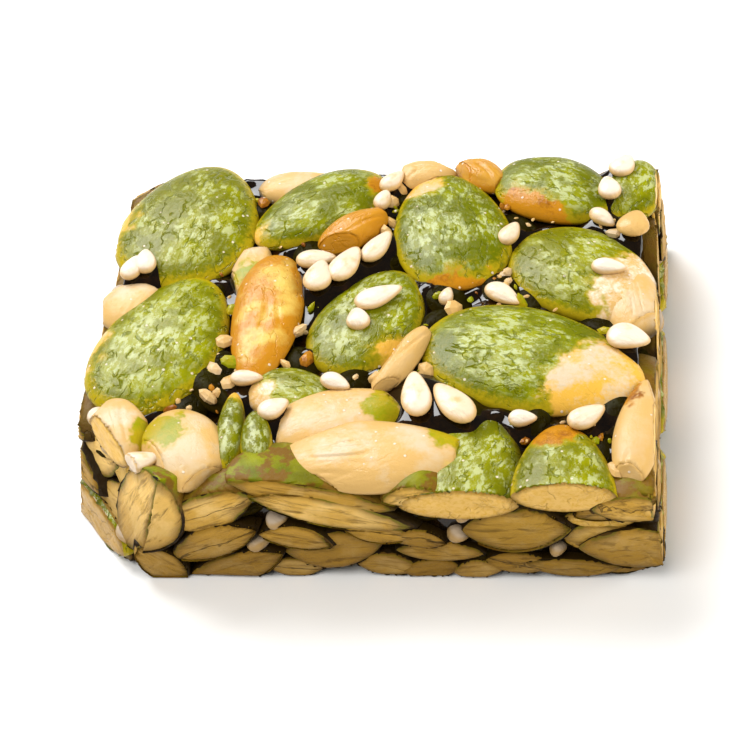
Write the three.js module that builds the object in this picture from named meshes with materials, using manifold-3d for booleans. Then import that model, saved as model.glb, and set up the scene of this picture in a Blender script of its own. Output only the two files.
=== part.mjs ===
// Seed brittle: one hand-cut piece of a pressed slab of pumpkin kernels, sesame and set syrup.
// Millimetres, +Z up. The piece stands on its flat underside, z = 0, centred on x = y = 0.
// The front is -Y. The kernels lie flat in layers, and the knife cut through those at the sides.
import * as THREE from "three";
import { ConvexGeometry } from "three/addons/geometries/ConvexGeometry.js";
import { mergeVertices } from "three/addons/utils/BufferGeometryUtils.js";
import Module from "manifold-3d";

// Driving dimensions of the cut piece.
const HALF_WIDTH = 21; // at the underside: the knife leant outwards at both ends
const HALF_DEPTH = 18;
const HEIGHT = 9.6; // tops of the upper kernels
const TOP_INSET_LEFT = 0.8; // how far each end leans in at the top
const TOP_INSET_RIGHT = 0.9;
const CHIP_TOP = { side: 9.5, front: 7.2 }; // the broken front left corner, along the left and front edges
const CHIP_FOOT = { side: 6.5, front: 4.5 };
const LAYER = 2.4; // mean height of one layer of kernels
const CORE_INSET = 1.1; // the syrup mass lies this far behind the cut faces
const CORE_TOP = 1.7; // and this far under the kernels' tops
const CORE_FOOT = 0.8; // and this high above what the lower kernels stand on

// A kernel is a flat lens with an egg-shaped outline, its narrow end at +X.
const KERNEL_TAPER = 0.16; // how much narrower the pointed half is
const LENS_SHARPNESS = 1.25; // above 1 the rim is an edge rather than round
const CUT_SHARE = 0.4; // a side kernel's middle lies this share of its half breadth behind the cut
const CUT_UNEVEN = 0.35; // how far some cut faces stand back from the others
const CUT_SCALE = Math.sqrt(1 - CUT_SHARE * CUT_SHARE); // size of the cut face to the whole kernel

// The upper kernels, where they lie: x, y, turn of the long axis in degrees, length, width, and
// how far their tops are below the piece's height.
const UPPER_KERNELS = [
  { x: -15.0, y: 11.1, turn: 81, length: 14.6, width: 10.6, sunk: 0.0 },
  { x: -15.2, y: -2.4, turn: 75, length: 15.4, width: 9.2, sunk: 0.1 },
  { x: -7.9, y: 0.5, turn: -92, length: 14.2, width: 5.2, sunk: 0.2 },
  { x: -5.2, y: 12.8, turn: 223, length: 11.8, width: 7.0, sunk: 0.3 },
  { x: -2.2, y: 9.7, turn: 45, length: 6.2, width: 3.6, sunk: 0.0 },
  { x: -6.9, y: 15.8, turn: 6, length: 7.4, width: 3.8, sunk: 0.9 },
  { x: -0.4, y: 0.2, turn: 72, length: 12.0, width: 7.9, sunk: 0.5 },
  { x: 4.9, y: 10.1, turn: 101, length: 13.6, width: 8.7, sunk: 0.1 },
  { x: 12.6, y: 14.6, turn: -30, length: 10.0, width: 7.2, sunk: 0.1 },
  { x: 15.0, y: 5.0, turn: -43, length: 13.0, width: 8.8, sunk: 0.4 },
  { x: 11.6, y: -4.4, turn: -21, length: 16.4, width: 10.6, sunk: 0.0 },
  { x: -1.6, y: -10.1, turn: 14, length: 10.6, width: 5.8, sunk: 0.5 },
  { x: 1.2, y: -14.2, turn: 2, length: 12.8, width: 6.8, sunk: 0.0 },
  { x: 7.4, y: -15.4, turn: 80, length: 13.0, width: 8.4, sunk: 0.9 },
  { x: 14.2, y: -17.0, turn: 94, length: 12.4, width: 7.0, sunk: 0.3 },
  { x: 19.0, y: -11.9, turn: 84, length: 10.4, width: 3.2, sunk: 0.3 },
  { x: -17.0, y: -11.9, turn: 100, length: 7.2, width: 4.8, sunk: 0.2 },
  { x: -12.0, y: -13.5, turn: 104, length: 8.2, width: 6.2, sunk: 0.1 },
  { x: -7.0, y: -12.7, turn: 98, length: 5.6, width: 2.2, sunk: 0.2 },
  { x: -8.9, y: -11.6, turn: 93, length: 7.6, width: 2.0, sunk: 0.4 },
  { x: -5.1, y: -7.5, turn: -18, length: 6.8, width: 5.0, sunk: 0.7 },
  { x: 2.4, y: -4.7, turn: 65, length: 8.0, width: 2.2, sunk: 0.1 },
  { x: 2.6, y: 16.7, turn: 3, length: 4.8, width: 3.0, sunk: 0.4 },
  { x: 6.9, y: 16.6, turn: -40, length: 5.2, width: 3.2, sunk: 0.5 },
  { x: 18.3, y: 14.6, turn: 80, length: 7.2, width: 4.6, sunk: 0.4 },
  { x: -18.0, y: 2.0, turn: 60, length: 5.4, width: 4.8, sunk: 0.6 },
  { x: -9.6, y: 5.9, turn: 88, length: 6.8, width: 3.4, sunk: 0.9 },
  { x: 18.6, y: 2.0, turn: 100, length: 7.8, width: 4.4, sunk: 0.7 },
];

// Kernels that the knife cut along the front: x, z of the cut face, half its length and half its
// height, and its slope in degrees.
const FRONT_KERNELS = [
  { at: -2.6, z: 7.6, long: 5.6, high: 1.0, slope: -13 },
  { at: -1.4, z: 6.3, long: 5.6, high: 1.15, slope: -15 },
  { at: 4.0, z: 8.0, long: 2.1, high: 0.8, slope: 9 },
  { at: 11.0, z: 4.7, long: 3.7, high: 1.8, slope: 3 },
  { at: 16.1, z: 5.6, long: 1.9, high: 0.65, slope: -4 },
  { at: 17.4, z: 3.7, long: 3.6, high: 1.3, slope: -4 },
  { at: 17.6, z: 6.9, long: 2.9, high: 0.9, slope: 16 },
  { at: 18.4, z: 1.6, long: 2.4, high: 0.9, slope: 12 },
  { at: 14.6, z: 1.0, long: 3.4, high: 0.8, slope: -4 },
  { at: -9.9, z: 6.3, long: 3.6, high: 1.5, slope: 23 },
  { at: -9.9, z: 3.5, long: 3.4, high: 1.25, slope: 24 },
  { at: -8.4, z: 1.0, long: 3.5, high: 1.2, slope: 20 },
  { at: -13.9, z: 1.3, long: 2.3, high: 1.3, slope: -42 },
  { at: -4.0, z: 4.1, long: 2.6, high: 1.05, slope: -12 },
  { at: -1.8, z: 2.6, long: 3.3, high: 1.5, slope: 6 },
  { at: -4.6, z: 0.9, long: 2.2, high: 0.8, slope: -4 },
  { at: 1.5, z: 4.4, long: 2.3, high: 0.8, slope: -10 },
  { at: 1.9, z: 1.2, long: 2.0, high: 1.0, slope: -6 },
  { at: 4.3, z: 3.9, long: 2.0, high: 0.8, slope: -6 },
  { at: 5.6, z: 2.5, long: 3.0, high: 0.85, slope: -3 },
  { at: 4.9, z: 0.8, long: 2.0, high: 0.8, slope: 6 },
  { at: 8.1, z: 0.9, long: 1.7, high: 0.8, slope: 8 },
  { at: 11.0, z: 1.5, long: 2.3, high: 0.9, slope: -6 },
];

// The same on the broken corner, measured along it from its left end.
const CHIP_KERNELS = [
  { at: 8.6, z: 5.2, long: 4.6, high: 2.4, slope: 60 },
  { at: 2.0, z: 5.4, long: 3.0, high: 1.3, slope: 25 },
  { at: 5.6, z: 6.6, long: 2.6, high: 1.3, slope: -20 },
  { at: 5.4, z: 3.6, long: 3.2, high: 1.3, slope: 12 },
  { at: 4.4, z: 1.2, long: 3.6, high: 1.2, slope: -5 },
];

// Sesame seeds and small crumbs of kernel on top: place, turn, length, width, depth below the tops.
const UPPER_SESAME = [
  { x: -4.7, y: 5.8, turn: 5, length: 3.0, width: 1.9, sunk: 0.3 },
  { x: -4.3, y: 3.7, turn: 85, length: 3.4, width: 2.2, sunk: 0.1 },
  { x: -2.4, y: 5.0, turn: 70, length: 4.0, width: 2.2, sunk: 0.1 },
  { x: 0.3, y: 1.3, turn: 32, length: 3.8, width: 2.1, sunk: 0.1 },
  { x: -1.0, y: -0.9, turn: 100, length: 2.3, width: 1.8, sunk: 0.3 },
  { x: 3.8, y: -9.0, turn: 98, length: 4.6, width: 2.2, sunk: 0.1 },
  { x: 6.4, y: -9.8, turn: 125, length: 4.6, width: 2.4, sunk: 0.2 },
  { x: 11.2, y: -10.8, turn: 0, length: 2.0, width: 1.5, sunk: 0.8 },
  { x: 15.6, y: -10.9, turn: 40, length: 3.0, width: 2.0, sunk: 0.5 },
  { x: 18.3, y: -3.2, turn: -20, length: 3.2, width: 2.6, sunk: 0.2 },
  { x: 9.2, y: 2.4, turn: -40, length: 3.2, width: 1.8, sunk: 1.0 },
  { x: 5.1, y: 2.4, turn: 80, length: 1.8, width: 1.1, sunk: 1.1 },
  { x: 16.6, y: 13.5, turn: 100, length: 2.6, width: 1.8, sunk: 0.1 },
  { x: 18.5, y: 9.4, turn: 80, length: 2.9, width: 2.5, sunk: 0.2 },
  { x: 16.2, y: 10.5, turn: -45, length: 2.5, width: 1.4, sunk: 0.6 },
  { x: 17.6, y: 16.2, turn: 70, length: 2.6, width: 2.0, sunk: 0.1 },
  { x: -18.3, y: 4.8, turn: 80, length: 2.7, width: 1.6, sunk: 0.1 },
  { x: -17.4, y: 5.4, turn: 98, length: 2.7, width: 1.7, sunk: 0.0 },
  { x: -8.4, y: -6.6, turn: 0, length: 2.4, width: 1.4, sunk: 0.8 },
  { x: -2.0, y: -7.3, turn: -30, length: 2.4, width: 1.5, sunk: 0.6 },
  { x: 0.2, y: 15.2, turn: 60, length: 2.6, width: 1.6, sunk: 0.5 },
  { x: -0.4, y: 13.2, turn: 80, length: 2.2, width: 1.4, sunk: 0.7 },
  { x: -0.3, y: 7.4, turn: 65, length: 3.8, width: 1.8, sunk: 0.5 },
  { x: 16.8, y: 4.3, turn: -10, length: 2.6, width: 1.6, sunk: 0.1 },
  { x: 9.4, y: 9.0, turn: 70, length: 2.6, width: 1.6, sunk: 0.7 },
  { x: -6.0, y: -10.2, turn: 40, length: 2.4, width: 1.9, sunk: 0.3 },
  { x: -14.8, y: -15.2, turn: 20, length: 3.2, width: 2.0, sunk: 0.6 },
];

// Sesame that shows between the cut kernels of the front and of the broken corner.
const FRONT_SESAME = [
  { at: -5.4, z: 5.2, long: 0.8 },
  { at: -6.9, z: 3.1, long: 0.95 },
  { at: 6.9, z: 3.9, long: 0.8 },
  { at: 13.6, z: 2.6, long: 0.6 },
  { at: 7.4, z: 5.9, long: 0.7 },
];
const CHIP_SESAME = [
  { at: 1.4, z: 8.0, long: 1.5 },
  { at: 3.6, z: 7.2, long: 1.5 },
  { at: 2.6, z: 3.2, long: 1.4 },
  { at: 6.8, z: 1.9, long: 1.3 },
];

// Lehmer's generator, so that the scattered kernels lie the same way every time.
function seededRandom(seed) {
  let state = seed;
  return (low, high) => {
    state = (state * 16807) % 2147483647;
    return low + ((high - low) * state) / 2147483647;
  };
}

const radians = THREE.MathUtils.degToRad;

// One kernel or seed. lean tips it about a level axis, so that its upper face turns towards the
// direction "towards". A kernel that the knife went through has the cut's side and its depth.
function lens({ x, y, z, turn, length, width, thick, lean = 0, towards = 0, rings, sides, cut = null }) {
  return { x, y, z, turn, length, width, thick, lean, towards, rings, sides, cut };
}

// The upper and lower faces meet in an edge: a lathed lens, then drawn out to the egg outline.
function lensGeometry({ length, width, thick, rings, sides }) {
  const profile = [];
  for (let i = 0; i <= rings; i++) {
    const angle = -Math.PI / 2 + (Math.PI * i) / rings;
    const rise = Math.sign(Math.sin(angle)) * Math.abs(Math.sin(angle)) ** LENS_SHARPNESS;
    profile.push(new THREE.Vector2(i % rings === 0 ? 0 : Math.cos(angle), rise));
  }
  const geometry = new THREE.LatheGeometry(profile, sides).rotateX(Math.PI / 2);
  const corners = geometry.getAttribute("position");
  for (let i = 0; i < corners.count; i++) {
    const along = corners.getX(i);
    corners.setXYZ(
      i,
      (along * length) / 2,
      (corners.getY(i) * (1 - KERNEL_TAPER * along) * width) / 2,
      (corners.getZ(i) * thick) / 2,
    );
  }
  return geometry;
}

function placement({ x, y, z, turn, lean, towards }) {
  const heading = radians(towards);
  const axis = new THREE.Vector3(-Math.sin(heading), Math.cos(heading), 0);
  const upright = new THREE.Quaternion().setFromAxisAngle(new THREE.Vector3(0, 0, 1), radians(turn));
  const tipped = new THREE.Quaternion().setFromAxisAngle(axis, radians(lean));
  return new THREE.Matrix4().compose(
    new THREE.Vector3(x, y, z),
    tipped.multiply(upright),
    new THREE.Vector3(1, 1, 1),
  );
}

// The plan of the piece at its foot or its top: a rectangle without its front left corner.
function outline(z, insetLeft, insetRight, chip) {
  const left = -HALF_WIDTH + insetLeft;
  const right = HALF_WIDTH - insetRight;
  return [
    [left, HALF_DEPTH],
    [right, HALF_DEPTH],
    [right, -HALF_DEPTH],
    [left + chip.front, -HALF_DEPTH],
    [left, -HALF_DEPTH + chip.side],
  ].map(([x, y]) => new THREE.Vector3(x, y, z));
}

const foot = outline(0, 0, 0, CHIP_FOOT);
const top = outline(HEIGHT, TOP_INSET_LEFT, TOP_INSET_RIGHT, CHIP_TOP);

// The side faces as the knife left them: a start at mid height, the way along, and the way in.
function face(from, to) {
  const start = foot[from].clone().lerp(top[from], 0.5).setZ(0);
  const end = foot[to].clone().lerp(top[to], 0.5).setZ(0);
  const along = end.clone().sub(start).normalize();
  const inward = new THREE.Vector3(-along.y, along.x, 0);
  const lean = inward.dot(top[from].clone().sub(foot[from]));
  return { start, along, inward, lean, length: start.distanceTo(end) };
}
const BACK = face(1, 0);
const RIGHT = face(2, 1);
const FRONT = face(3, 2);
const CHIP = face(4, 3);
const LEFT = face(0, 4);

// A kernel that the knife went through, so that its cut face has the size given.
const cutDepth = seededRandom(71);
function cutKernel(side, { at, z, long, high, slope }, breadth, twist = 0) {
  const halfBreadth = breadth / 2;
  const drift = side.lean * (z / HEIGHT - 0.5);
  const place = side.start
    .clone()
    .addScaledVector(side.along, at)
    .addScaledVector(side.inward, CUT_SHARE * halfBreadth + drift);
  const heading = THREE.MathUtils.radToDeg(Math.atan2(side.along.y, side.along.x));
  return lens({
    x: place.x,
    y: place.y,
    z,
    turn: heading + twist,
    length: (2 * long) / CUT_SCALE,
    width: breadth,
    thick: (2 * high) / CUT_SCALE,
    lean: -slope,
    towards: heading,
    rings: 4,
    sides: 8,
    cut: { side, depth: cutDepth(0, CUT_UNEVEN) },
  });
}

function seedOnFace(side, { at, z, long }) {
  const drift = side.lean * (z / HEIGHT - 0.5);
  const place = side.start.clone().addScaledVector(side.along, at).addScaledVector(side.inward, 0.5 + drift);
  const heading = THREE.MathUtils.radToDeg(Math.atan2(side.along.y, side.along.x));
  return lens({
    x: place.x, y: place.y, z, turn: heading, length: 2 * long, width: 2.2, thick: 1.5, rings: 4, sides: 6,
  });
}

// Whole kernels pressed flat into the upper face.
function upperKernels() {
  return UPPER_KERNELS.map(({ x, y, turn, length, width, sunk }) => {
    const thick = 1.4 + 0.18 * width;
    const z = HEIGHT - sunk - thick / 2;
    const rings = width > 6.5 ? 6 : 4;
    const sides = width > 6.5 ? 12 : width > 3.5 ? 9 : 7;
    return lens({ x, y, z, turn, length, width, thick, rings, sides });
  });
}

// Whole kernels on the underside, in rows like paving.
function lowerKernels() {
  const random = seededRandom(11);
  const kernels = [];
  for (const y of [-10.6, 1.4, 13.2]) {
    for (let x = -17.4; x < 20; x += 8.7) {
      kernels.push(
        lens({
          x: x + random(-0.7, 0.7),
          y: y + random(-0.9, 0.9),
          z: 1.15,
          turn: 90 + random(-34, 34),
          length: random(12.5, 14.5),
          width: random(8.2, 9.4),
          thick: 2.8,
          rings: 4,
          sides: 8,
        }),
      );
    }
  }
  return kernels;
}

// Cut kernels between the upper and lower ones, in two courses like bricks.
function middleKernels() {
  const random = seededRandom(29);
  const kernels = [];
  const pitch = 7.2;
  for (const side of [RIGHT, BACK, LEFT]) {
    for (const course of [0, 1]) {
      for (let at = course * 0.5 * pitch; at < side.length + 2; at += pitch * random(0.86, 1.14)) {
        const z = 1.5 * LAYER + course * 0.92 * LAYER + random(-0.35, 0.35);
        const cut = { at, z, long: random(3.6, 5.2), high: random(1.2, 1.6), slope: random(-15, 15) };
        kernels.push(cutKernel(side, cut, random(7.6, 9), random(-14, 14)));
      }
    }
  }
  return kernels;
}

// Small seeds caught between the layers.
function middleSesame() {
  const random = seededRandom(53);
  const seeds = [];
  for (const side of [RIGHT, BACK, LEFT]) {
    for (let at = 3; at < side.length - 2; at += random(4.5, 7.5)) {
      seeds.push(seedOnFace(side, { at, z: random(2.2, 7.6), long: random(0.9, 1.5) }));
    }
  }
  return seeds;
}

function upperSesame() {
  return UPPER_SESAME.map(({ x, y, turn, length, width, sunk }) =>
    lens({ x, y, z: HEIGHT - sunk - 0.1, turn, length, width, thick: 1.3, rings: 4, sides: 7 }),
  );
}

const wasm = await Module();
wasm.setup();

function solidOf(geometry) {
  geometry.deleteAttribute("normal");
  geometry.deleteAttribute("uv");
  const merged = mergeVertices(geometry, 1e-4);
  return new wasm.Manifold(
    new wasm.Mesh({
      numProp: 3,
      vertProperties: merged.getAttribute("position").array,
      triVerts: new Uint32Array(merged.index.array),
    }),
  );
}

// The space inside the five cuts. It reaches well above the tops, where nothing is cut.
function knifeSpace() {
  const above = foot.map((corner, i) => corner.clone().lerp(top[i], 2));
  return solidOf(new ConvexGeometry([...foot, ...above]));
}

// What a cut leaves of the space, that far behind its side's plane.
function behindCut({ side, depth }) {
  const reach = 4 * HALF_WIDTH;
  const block = new THREE.BoxGeometry(reach, reach, reach).translate(reach / 2 - HALF_WIDTH, reach / 2, 0);
  const upward = new THREE.Vector3(0, 0, 1).addScaledVector(side.inward, side.lean / HEIGHT).normalize();
  const inward = new THREE.Vector3().crossVectors(upward, side.along);
  const place = side.start.clone().addScaledVector(side.inward, depth - side.lean / 2);
  return solidOf(block.applyMatrix4(new THREE.Matrix4().makeBasis(side.along, inward, upward).setPosition(place)));
}

// The set syrup that everything is stuck in.
function syrupCore() {
  const shrink = (corner, z) => {
    const reach = new THREE.Vector2(corner.x, corner.y);
    const share = (reach.length() - 1.4 * CORE_INSET) / reach.length();
    return new THREE.Vector3(corner.x * share, corner.y * share, z);
  };
  const low = foot.map((corner) => shrink(corner, CORE_FOOT));
  const high = top.map((corner) => shrink(corner, HEIGHT - CORE_TOP));
  return solidOf(new ConvexGeometry([...low, ...high]));
}

const pieces = [
  ...upperKernels(),
  ...lowerKernels(),
  ...middleKernels(),
  ...FRONT_KERNELS.map((cut) => cutKernel(FRONT, { ...cut, at: cut.at - FRONT.start.x }, 8)),
  ...CHIP_KERNELS.map((cut) => cutKernel(CHIP, cut, 7)),
  ...upperSesame(),
  ...middleSesame(),
  ...FRONT_SESAME.map((seed) => seedOnFace(FRONT, { ...seed, at: seed.at - FRONT.start.x })),
  ...CHIP_SESAME.map((seed) => seedOnFace(CHIP, seed)),
];

function brittleSolid() {
  const lenses = pieces.map((piece) => {
    const whole = solidOf(lensGeometry(piece).applyMatrix4(placement(piece)));
    return piece.cut ? whole.intersect(behindCut(piece.cut)) : whole;
  });
  const joined = wasm.Manifold.union([syrupCore(), ...lenses]).intersect(knifeSpace());
  const bodies = joined.decompose();
  return bodies.reduce((largest, body) => (body.volume() > largest.volume() ? body : largest));
}

function geometryOf(solid) {
  const mesh = solid.getMesh();
  const corners = new Float32Array(mesh.numVert * 3);
  for (let i = 0; i < mesh.numVert; i++) {
    corners.set(mesh.vertProperties.subarray(i * mesh.numProp, i * mesh.numProp + 3), i * 3);
  }
  const geometry = new THREE.BufferGeometry();
  geometry.setAttribute("position", new THREE.BufferAttribute(corners, 3));
  geometry.setIndex(new THREE.BufferAttribute(mesh.triVerts, 1));
  geometry.computeVertexNormals();
  return geometry;
}

const glazedSeeds = new THREE.MeshStandardMaterial({ color: 0x8a8a2c, roughness: 0.35, metalness: 0 });
const brittle = new THREE.Mesh(geometryOf(brittleSolid()), glazedSeeds);
brittle.name = "brittle";

const seedBrittle = new THREE.Group();
seedBrittle.add(brittle);
export default seedBrittle;
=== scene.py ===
"""One hand-cut piece of seed brittle: flat pumpkin kernels and sesame pressed in dark set syrup.

The layout below is in millimetres and is the same as the solid's: +Z up, the piece stands on z = 0,
its front is -Y and its front left corner is broken. Meshes are made in metres.
"""

import math

import bpy
import numpy as np
from bpy.props import FloatProperty, FloatVectorProperty, IntProperty, PointerProperty
from mathutils import Matrix, Vector


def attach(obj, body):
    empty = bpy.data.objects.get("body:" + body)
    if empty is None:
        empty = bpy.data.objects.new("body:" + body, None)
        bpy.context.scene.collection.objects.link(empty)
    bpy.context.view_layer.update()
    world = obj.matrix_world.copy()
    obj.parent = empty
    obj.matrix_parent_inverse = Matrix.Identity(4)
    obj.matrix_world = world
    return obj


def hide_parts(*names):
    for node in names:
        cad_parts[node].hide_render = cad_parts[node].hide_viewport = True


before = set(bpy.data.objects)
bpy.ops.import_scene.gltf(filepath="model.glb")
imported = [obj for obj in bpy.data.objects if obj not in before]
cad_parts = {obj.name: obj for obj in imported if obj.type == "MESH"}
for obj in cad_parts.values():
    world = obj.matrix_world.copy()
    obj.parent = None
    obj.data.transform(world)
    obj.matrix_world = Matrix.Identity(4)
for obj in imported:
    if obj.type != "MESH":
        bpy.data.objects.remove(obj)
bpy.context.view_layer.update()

bl_info = {
    "name": "Seed Brittle",
    "version": (1, 0, 0),
    "blender": (4, 5, 0),
    "location": "3D View > Sidebar > Brittle",
    "description": "Builds one cut piece of pumpkin kernel and sesame brittle",
    "category": "Object",
}

MM = 0.001

# The cut block.
HALF_WIDTH = 21.0
HALF_DEPTH = 18.0
HEIGHT = 9.6
TOP_INSET = (0.8, 0.9)  # left, right
CHIP_TOP = (9.5, 7.2)  # how far the broken corner runs along the left side and along the front
CHIP_FOOT = (6.5, 4.5)
LAYER = 2.4
CORE_INSET = 1.1
CORE_HEIGHT = HEIGHT - 1.7
CORE_FOOT = 0.8

KERNEL_TAPER = 0.16  # how much narrower a kernel is at its end in +X
CUT_SHARE = 0.4  # how far off its middle a kernel is cut, as a share of its half breadth
CUT_SCALE = math.sqrt(1 - CUT_SHARE**2)
CUT_UNEVEN = 0.35
LOWEST = 0.03  # where the lowest kernels were pressed flat

# Profiles of kernels: flatness and roundness of the faces, and how far the outline swings.
PLUMP = (2.3, 0.58, 0.014)
PEELED = (2.8, 0.68, 0.05)
CUT_PROFILE = (2.0, 0.8, 0.035)
BURIED_PROFILE = (2.2, 0.6, 0.03)
SESAME_PROFILE = (2.0, 0.55, 0.014)
CRUMB_PROFILE = (2.0, 0.8, 0.12)
FACE_RINGS = (0.96, 0.86, 0.7, 0.5, 0.27)  # rings of a cut face, as shares of the way out
FACE_RELIEF = 0.05  # depth of the dents in a cut face

# A point and the outward normal of the face worn off the upper corner at the back on the left.
WORN_CORNER = (np.array((-19.4, 17.0, 6.9)), np.array((-0.45, 0.45, 0.77)))

# Upper kernels: skin, x, y, turn, length, width, depth below the tops, and coloured places on them
# as {colour: (x, y, radius)}.
UPPER_KERNELS = [
    ("green", -15.0, 11.1, 81, 14.6, 10.6, 0.0, {"tan": (-23.9, 11.4, 4.4)}),
    ("green", -15.2, -2.4, 75, 15.4, 9.2, 0.1, {"tan": (-23.6, -2.6, 4.2)}),
    ("golden", -7.9, 0.5, -92, 14.2, 5.2, 0.2, {}),
    ("green", -5.2, 12.8, 223, 11.8, 7.0, 0.3,
     {"tan": (-10.2, 8.6, 1.6), "brown": (0.2, 15.6, 1.5)}),
    ("toasted", -2.2, 9.7, 45, 6.2, 3.6, 0.0, {}),
    ("cream", -6.9, 15.8, 6, 7.4, 3.8, 0.9, {}),
    ("green", -0.4, 0.2, 72, 12.0, 7.9, 0.5, {"tan": (3.6, -5.2, 3.2)}),
    ("green", 4.9, 10.1, 101, 13.6, 8.7, 0.1, {"brown": (6.8, -1.0, 5.7), "tan": (1.6, 15.6, 2.2)}),
    ("green", 12.6, 14.6, -30, 10.0, 7.2, 0.1, {"brown": (8.1, 6.8, 6.9)}),
    ("green", 15.0, 5.0, -43, 13.0, 8.8, 0.4, {"cream": (20.2, 2.4, 4.3)}),
    ("green", 11.6, -4.4, -21, 16.4, 10.6, 0.0, {"tan": (18.0, -9.0, 5.4)}),
    ("cream", -1.6, -10.1, 14, 10.6, 5.8, 0.5, {"skin": (1.6, -9.9, 1.7)}),
    ("cream", 1.2, -14.2, 2, 12.8, 6.8, 0.0, {"skin": (7.6, -12.4, 2.2), "tan": (8.0, -15.0, 1.5)}),
    ("green", 7.4, -15.4, 80, 13.0, 8.4, 0.9, {}),
    ("green", 14.2, -17.0, 94, 12.4, 7.0, 0.3, {"brown": (13.6, -11.4, 2.2)}),
    ("tan", 19.0, -11.9, 84, 10.4, 3.2, 0.3, {"brown": (18.0, -8.4, 1.2)}),
    ("cream", -17.0, -11.9, 100, 7.2, 4.8, 0.2, {"skin": (-14.6, -12.4, 1.3)}),
    ("cream", -12.0, -13.5, 104, 8.2, 6.2, 0.1, {"skin": (-13.6, -12.2, 1.7)}),
    ("green", -7.0, -12.7, 98, 5.6, 2.2, 0.2, {}),
    ("green", -8.9, -11.6, 93, 7.6, 2.0, 0.4, {"tan": (-9.0, -7.6, 1.6)}),
    ("green", -5.1, -7.5, -18, 6.8, 5.0, 0.7, {"cream": (-8.2, -8.0, 1.7)}),
    ("tan", 2.4, -4.7, 65, 8.0, 2.2, 0.1, {}),
    ("tan", 2.6, 16.7, 3, 4.8, 3.0, 0.4, {}),
    ("toasted", 6.9, 16.6, -40, 5.2, 3.2, 0.5, {}),
    ("green", 18.3, 14.6, 80, 7.2, 4.6, 0.4, {}),
    ("cream", -18.0, 2.0, 60, 5.4, 4.8, 0.6, {}),
    ("cream", -9.6, 5.9, 88, 6.8, 3.4, 0.9, {"skin": (-9.2, 4.4, 1.6)}),
    ("cream", 18.6, 2.0, 100, 7.8, 4.4, 0.7, {}),
]

OWN_HUE = {"toasted": 0.75, "tan": 0.62}

# The pieces of the upper face, and the kinds of kernels in each, first the one its skin is for.
UPPER_PIECES = {
    "green_kernels": ("green",),
    "golden_kernels": ("golden", "toasted"),
    "cream_kernels": ("cream", "tan"),
}

# Kernels cut through at the front: place along it, height, half length, half height, slope.
FRONT_KERNELS = [
    (-2.6, 7.6, 5.6, 1.0, -13), (-1.4, 6.3, 5.6, 1.15, -15), (4.0, 8.0, 2.1, 0.8, 9),
    (11.0, 4.7, 3.7, 1.8, 3), (16.1, 5.6, 1.9, 0.65, -4), (17.4, 3.7, 3.6, 1.3, -4),
    (17.6, 6.9, 2.9, 0.9, 16), (18.4, 1.6, 2.4, 0.9, 12), (14.6, 1.0, 3.4, 0.8, -4),
    (-9.9, 6.3, 3.6, 1.5, 23), (-9.9, 3.5, 3.4, 1.25, 24), (-8.4, 1.0, 3.5, 1.2, 20),
    (-13.9, 1.3, 2.3, 1.3, -42), (-4.0, 4.1, 2.6, 1.05, -12), (-1.8, 2.6, 3.3, 1.5, 6),
    (-4.6, 0.9, 2.2, 0.8, -4), (1.5, 4.4, 2.3, 0.8, -10), (1.9, 1.2, 2.0, 1.0, -6),
    (4.3, 3.9, 2.0, 0.8, -6), (5.6, 2.5, 3.0, 0.85, -3), (4.9, 0.8, 2.0, 0.8, 6),
    (8.1, 0.9, 1.7, 0.8, 8), (11.0, 1.5, 2.3, 0.9, -6),
]
CHIP_KERNELS = [
    (8.6, 5.2, 4.6, 2.4, 60), (2.0, 5.4, 3.0, 1.3, 25), (5.6, 6.6, 2.6, 1.3, -20),
    (5.4, 3.6, 3.2, 1.3, 12), (4.4, 1.2, 3.6, 1.2, -5),
]

# Sesame on top: x, y, turn, length, width, depth below the tops.
UPPER_SESAME = [
    (-4.7, 5.8, 5, 3.0, 1.9, 0.3), (-4.3, 3.7, 85, 3.4, 2.2, 0.1), (-2.4, 5.0, 70, 4.0, 2.2, 0.1),
    (0.3, 1.3, 32, 3.8, 2.1, 0.1), (-1.0, -0.9, 100, 2.3, 1.8, 0.3), (3.8, -9.0, 98, 4.6, 2.2, 0.1),
    (6.4, -9.8, 125, 4.6, 2.4, 0.2), (11.2, -10.8, 0, 2.0, 1.5, 0.8),
    (15.6, -10.9, 40, 3.0, 2.0, 0.5), (18.3, -3.2, -20, 3.2, 2.6, 0.2),
    (9.2, 2.4, -40, 3.2, 1.8, 1.0), (5.1, 2.4, 80, 1.8, 1.1, 1.1), (16.6, 13.5, 100, 2.6, 1.8, 0.1),
    (18.5, 9.4, 80, 2.9, 2.5, 0.2), (16.2, 10.5, -45, 2.5, 1.4, 0.6),
    (17.6, 16.2, 70, 2.6, 2.0, 0.1), (-18.3, 4.8, 80, 2.7, 1.6, 0.1),
    (-17.4, 5.4, 98, 2.7, 1.7, 0.0), (-8.4, -6.6, 0, 2.4, 1.4, 0.8),
    (-2.0, -7.3, -30, 2.4, 1.5, 0.6), (0.2, 15.2, 60, 2.6, 1.6, 0.5),
    (-0.4, 13.2, 80, 2.2, 1.4, 0.7), (-0.3, 7.4, 65, 3.8, 1.8, 0.5),
    (16.8, 4.3, -10, 2.6, 1.6, 0.1), (9.4, 9.0, 70, 2.6, 1.6, 0.7),
    (-6.0, -10.2, 40, 2.4, 1.9, 0.3), (-14.8, -15.2, 20, 3.2, 2.0, 0.6),
]
GOLDEN_SESAME = (18.5, 9.4)  # the one toasted seed
FRONT_SESAME = [
    (-5.4, 5.2, 0.8), (-6.9, 3.1, 0.95), (6.9, 3.9, 0.8), (13.6, 2.6, 0.6), (7.4, 5.9, 0.7),
]
CHIP_SESAME = [(1.4, 8.0, 1.5), (3.6, 7.2, 1.5), (2.6, 3.2, 1.4), (6.8, 1.9, 1.3)]

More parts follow.
